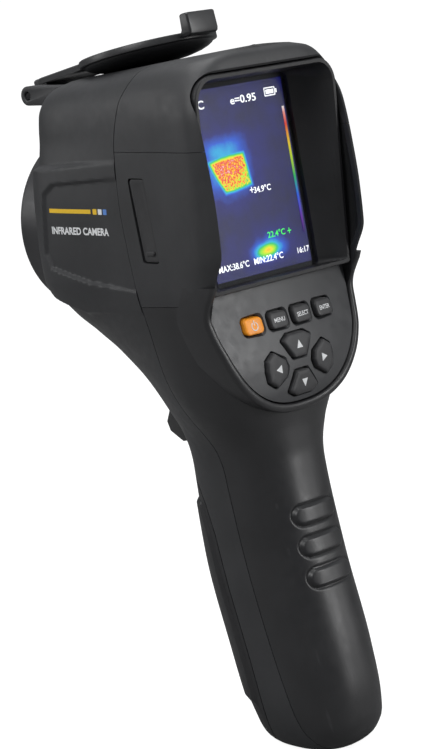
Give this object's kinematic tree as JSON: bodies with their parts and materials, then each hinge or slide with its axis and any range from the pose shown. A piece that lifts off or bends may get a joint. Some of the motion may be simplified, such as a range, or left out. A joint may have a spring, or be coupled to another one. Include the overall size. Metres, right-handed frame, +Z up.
{
  "type": "thermal imaging camera",
  "caption": "Pistol-grip thermal imaging camera: hooded colour screen and key panel at the rear, ring-framed infrared lens with a flip cover in front, trigger under the head.",
  "frame": {"origin": "middle of the flat foot under the handle", "axes": "+Z up, the screen and keys face -Y, the lens looks along +Y, +X is the user's right"},
  "size_m": [0.0708, 0.1101, 0.2287],
  "materials": {
    "housing_grey": "fine moulded texture",
    "housing_dark": "satin moulded plastic",
    "door_dark": "satin moulded plastic",
    "surround_dark": "matt",
    "window_glass": "clear, glossy",
    "rubber_black": "matt",
    "screen_image": "lit false-colour heat picture",
    "panel_grey": "satin",
    "circuit_board": "solder mask",
    "key_orange": "satin silicone",
    "key_rubber": "matt silicone",
    "bezel_dark": "satin",
    "steel": "satin metal",
    "germanium": "coated infrared lens",
    "cover_dark": "satin",
    "trigger_rubber": "satin",
    "switch_plastic": "plain",
    "cell_wrap": "heat-shrink sleeve",
    "port_rubber": "matt"
  },
  "bodies": {
    "housing": {"front_housing": "housing_grey", "middle_band": "housing_grey", "screen_hood": "housing_grey", "rear_housing": "housing_dark", "screen_surround": "surround_dark", "screen_window": "window_glass", "screen_gasket": "rubber_black", "display_module": "screen_image", "key_panel": "panel_grey", "key_mat": "rubber_black", "key_board": "circuit_board", "lens_bezel": "bezel_dark", "lens_collar": "bezel_dark", "lens_barrel": "steel", "germanium_lens": "germanium", "lens_seal": "rubber_black", "visible_camera": "bezel_dark", "infrared_core": "steel", "front_board": "circuit_board", "cover_pin": "steel", "trigger_pin": "steel", "trigger_switch": "switch_plastic", "battery_cell": "cell_wrap", "upper_contact": "steel", "lower_contact": "steel", "main_board": "circuit_board", "usb_socket": "steel", "card_socket": "steel", "board_screw_1": "steel", "board_screw_2": "steel", "board_screw_3": "steel", "board_screw_4": "steel"},
    "power_key": {"power_key": "key_orange"},
    "menu_key": {"menu_key": "key_rubber"},
    "select_key": {"select_key": "key_rubber"},
    "enter_key": {"enter_key": "key_rubber"},
    "up_key": {"up_key": "key_rubber"},
    "down_key": {"down_key": "key_rubber"},
    "left_key": {"left_key": "key_rubber"},
    "right_key": {"right_key": "key_rubber"},
    "lens_cover": {"lens_cover": "cover_dark"},
    "trigger": {"trigger": "trigger_rubber"},
    "usb_cover": {"usb_cover": "port_rubber"},
    "card_cover": {"card_cover": "port_rubber"},
    "battery_door": {"battery_door": "door_dark"}
  },
  "joints": [
    {"name": "cover_hinge", "type": "hinge", "parent": "housing", "child": "lens_cover", "pos_m": [0, 0.0828, 0.2056], "axis": [1, 0, 0], "range_deg": [-259, 0]},
    {"name": "trigger_pull", "type": "hinge", "parent": "housing", "child": "trigger", "pos_m": [0, 0.033, 0.104], "axis": [-1, 0, 0], "range_deg": [0, 7], "stiffness_Nm_per_rad": 0.6, "springref_deg": -8.59},
    {"name": "usb_cover_hinge", "type": "hinge", "parent": "housing", "child": "usb_cover", "pos_m": [-0.0336, 0.0191, 0.1816], "axis": [0, 1, 0], "range_deg": [0, 95]},
    {"name": "card_cover_hinge", "type": "hinge", "parent": "housing", "child": "card_cover", "pos_m": [0.0336, 0.0191, 0.1816], "axis": [0, -1, 0], "range_deg": [0, 95]},
    {"name": "battery_door_slide", "type": "slide", "parent": "housing", "child": "battery_door", "axis": [0, 0.9756, -0.2195], "range_m": [0, 0.025]},
    {"name": "power_press", "type": "slide", "parent": "housing", "child": "power_key", "axis": [0, 1, 0], "range_m": [0, 0.0008], "stiffness_N_per_m": 600, "springref_m": -0.0003},
    {"name": "menu_press", "type": "slide", "parent": "housing", "child": "menu_key", "axis": [0, 1, 0], "range_m": [0, 0.0008], "stiffness_N_per_m": 600, "springref_m": -0.0003},
    {"name": "select_press", "type": "slide", "parent": "housing", "child": "select_key", "axis": [0, 1, 0], "range_m": [0, 0.0008], "stiffness_N_per_m": 600, "springref_m": -0.0003},
    {"name": "enter_press", "type": "slide", "parent": "housing", "child": "enter_key", "axis": [0, 1, 0], "range_m": [0, 0.0008], "stiffness_N_per_m": 600, "springref_m": -0.0003},
    {"name": "up_press", "type": "slide", "parent": "housing", "child": "up_key", "axis": [0, 1, 0], "range_m": [0, 0.0008], "stiffness_N_per_m": 600, "springref_m": -0.0003},
    {"name": "down_press", "type": "slide", "parent": "housing", "child": "down_key", "axis": [0, 1, 0], "range_m": [0, 0.0008], "stiffness_N_per_m": 600, "springref_m": -0.0003},
    {"name": "left_press", "type": "slide", "parent": "housing", "child": "left_key", "axis": [0, 1, 0], "range_m": [0, 0.0008], "stiffness_N_per_m": 600, "springref_m": -0.0003},
    {"name": "right_press", "type": "slide", "parent": "housing", "child": "right_key", "axis": [0, 1, 0], "range_m": [0, 0.0008], "stiffness_N_per_m": 600, "springref_m": -0.0003}
  ]
}
